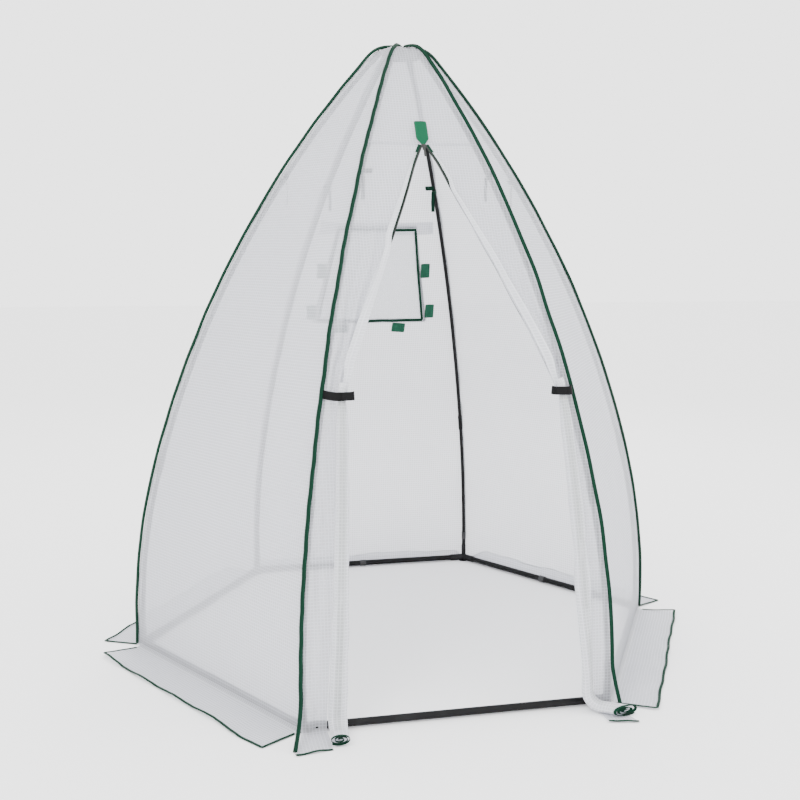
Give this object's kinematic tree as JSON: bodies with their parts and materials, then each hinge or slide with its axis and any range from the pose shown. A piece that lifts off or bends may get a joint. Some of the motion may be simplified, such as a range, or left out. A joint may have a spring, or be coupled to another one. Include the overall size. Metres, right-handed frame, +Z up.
{
  "type": "pop up greenhouse",
  "caption": "Walk-in hexagonal greenhouse: bowed poles on a tube base, sewn translucent cover with skirts, a tied-back zip door and a flap window.",
  "frame": {"origin": "middle of the hexagonal base on the ground", "axes": "+Z up, the door faces -Y, +X to the right seen from the door"},
  "size_m": [2.0572, 1.858, 2.011],
  "materials": {
    "frame_tube": "black powder coat, satin",
    "moulded_plastic": "moulded, matt",
    "cover_cloth": "translucent woven polyethylene with a fine grid",
    "screen_mesh": "fine insect mesh",
    "binding": "dark green woven tape",
    "patch": "green woven patch, stitched",
    "hook_loop_green": "green hook-and-loop tape",
    "webbing": "black webbing and hook-and-loop tape",
    "zip_metal": "black painted zinc"
  },
  "bodies": {
    "frame": {"base_tube_1": "frame_tube", "base_tube_2": "frame_tube", "base_tube_3": "frame_tube", "base_tube_4": "frame_tube", "base_tube_5": "frame_tube", "base_tube_6": "frame_tube", "corner_connector_1": "moulded_plastic", "corner_connector_2": "moulded_plastic", "corner_connector_3": "moulded_plastic", "corner_connector_4": "moulded_plastic", "corner_connector_5": "moulded_plastic", "corner_connector_6": "moulded_plastic", "crown_hub": "moulded_plastic", "door_panel_left": "cover_cloth", "door_panel_right": "cover_cloth", "front_top_panel": "cover_cloth", "gore_back": "cover_cloth", "gore_left_back": "cover_cloth", "gore_left_front": "cover_cloth", "gore_right_back": "cover_cloth", "gore_right_front": "cover_cloth", "pole_loops": "webbing", "pole_lower_1": "frame_tube", "pole_lower_2": "frame_tube", "pole_lower_3": "frame_tube", "pole_lower_4": "frame_tube", "pole_lower_5": "frame_tube", "pole_lower_6": "frame_tube", "pole_upper_1": "frame_tube", "pole_upper_2": "frame_tube", "pole_upper_3": "frame_tube", "pole_upper_4": "frame_tube", "pole_upper_5": "frame_tube", "pole_upper_6": "frame_tube", "seam_binding": "binding", "tube_wraps": "webbing", "window_screen": "screen_mesh", "window_tabs": "hook_loop_green", "window_trim": "binding", "zip_patch": "patch", "zip_slider": "zip_metal"},
    "door_left": {"door_roll_left": "cover_cloth"},
    "door_edge_left": {"door_edge_left": "cover_cloth"},
    "strap_left": {"door_strap_left": "webbing"},
    "door_right": {"door_roll_right": "cover_cloth"},
    "door_edge_right": {"door_edge_right": "cover_cloth"},
    "strap_right": {"door_strap_right": "webbing"},
    "zip_pull": {"zip_pull": "zip_metal"},
    "window_flap": {"window_flap": "cover_cloth"},
    "skirt_right_front": {"skirt_right_front": "cover_cloth"},
    "skirt_right_back": {"skirt_right_back": "cover_cloth"},
    "skirt_back": {"skirt_back": "cover_cloth"},
    "skirt_left_back": {"skirt_left_back": "cover_cloth"},
    "skirt_left_front": {"skirt_left_front": "cover_cloth"},
    "tie_1": {"tie_1": "binding"},
    "tie_2": {"tie_2": "binding"},
    "tie_3": {"tie_3": "binding"},
    "tie_4": {"tie_4": "binding"},
    "tie_5": {"tie_5": "binding"},
    "tie_6": {"tie_6": "binding"}
  },
  "joints": [
    {"name": "door_left_close", "type": "slide", "parent": "frame", "child": "door_left", "axis": [1, 0, 0], "range_m": [0, 0.2967]},
    {"name": "door_left_gather", "type": "hinge", "parent": "frame", "child": "door_edge_left", "pos_m": [0, -0.30976, 1.662], "axis": [0, -0.9092, 0.4163], "range_deg": [0, 20.58]},
    {"name": "strap_left_open", "type": "hinge", "parent": "frame", "child": "strap_left", "pos_m": [-0.37542, -0.65752, 0.9275], "axis": [0, 0, -1], "range_deg": [0, 110]},
    {"name": "door_right_close", "type": "slide", "parent": "frame", "child": "door_right", "axis": [-1, 0, 0], "range_m": [0, 0.3167]},
    {"name": "door_right_gather", "type": "hinge", "parent": "frame", "child": "door_edge_right", "pos_m": [0, -0.30976, 1.662], "axis": [0, 0.9092, -0.4163], "range_deg": [0, 21.84]},
    {"name": "strap_right_open", "type": "hinge", "parent": "frame", "child": "strap_right", "pos_m": [0.37542, -0.65752, 0.9275], "axis": [0, 0, 1], "range_deg": [0, 110]},
    {"name": "zip_pull_flip", "type": "hinge", "parent": "frame", "child": "zip_pull", "pos_m": [0, -0.32735, 1.649], "axis": [-1, 0, 0], "range_deg": [0, 120]},
    {"name": "window_flap_lift", "type": "hinge", "parent": "frame", "child": "window_flap", "pos_m": [0, 0.43518, 1.44], "axis": [1, 0, 0], "range_deg": [0, 140]},
    {"name": "skirt_right_front_lift", "type": "hinge", "parent": "frame", "child": "skirt_right_front", "pos_m": [0.69024, -0.39851, 0.00075], "axis": [-0.5, -0.866, 0], "range_deg": [0, 85]},
    {"name": "skirt_right_back_lift", "type": "hinge", "parent": "frame", "child": "skirt_right_back", "pos_m": [0.69024, 0.39851, 0.00075], "axis": [0.5, -0.866, 0], "range_deg": [0, 85]},
    {"name": "skirt_back_lift", "type": "hinge", "parent": "frame", "child": "skirt_back", "pos_m": [0, 0.79702, 0.00075], "axis": [1, 0, 0], "range_deg": [0, 85]},
    {"name": "skirt_left_back_lift", "type": "hinge", "parent": "frame", "child": "skirt_left_back", "pos_m": [-0.69024, 0.39851, 0.00075], "axis": [0.5, 0.866, 0], "range_deg": [0, 85]},
    {"name": "skirt_left_front_lift", "type": "hinge", "parent": "frame", "child": "skirt_left_front", "pos_m": [-0.69024, -0.39851, 0.00075], "axis": [-0.5, 0.866, 0], "range_deg": [0, 85]},
    {"name": "tie_1_swing", "type": "hinge", "parent": "frame", "child": "tie_1", "pos_m": [-0.19594, -0.33938, 1.56216], "axis": [0.866, -0.5, 0], "range_deg": [-20, 80]},
    {"name": "tie_2_swing", "type": "hinge", "parent": "frame", "child": "tie_2", "pos_m": [0.19594, -0.33938, 1.56216], "axis": [0.866, 0.5, 0], "range_deg": [-20, 80]},
    {"name": "tie_3_swing", "type": "hinge", "parent": "frame", "child": "tie_3", "pos_m": [0.39188, 0, 1.56216], "axis": [0, 1, 0], "range_deg": [-20, 80]},
    {"name": "tie_4_swing", "type": "hinge", "parent": "frame", "child": "tie_4", "pos_m": [0.19594, 0.33938, 1.56216], "axis": [-0.866, 0.5, 0], "range_deg": [-20, 80]},
    {"name": "tie_5_swing", "type": "hinge", "parent": "frame", "child": "tie_5", "pos_m": [-0.19594, 0.33938, 1.56216], "axis": [-0.866, -0.5, 0], "range_deg": [-20, 80]},
    {"name": "tie_6_swing", "type": "hinge", "parent": "frame", "child": "tie_6", "pos_m": [-0.39188, 0, 1.56216], "axis": [0, -1, 0], "range_deg": [-20, 80]}
  ],
  "couplings": [
    {"joint": "door_left_gather", "follows": "door_left_close", "rad_per_m": 1.2094},
    {"joint": "door_right_gather", "follows": "door_right_close", "rad_per_m": 1.2025}
  ]
}
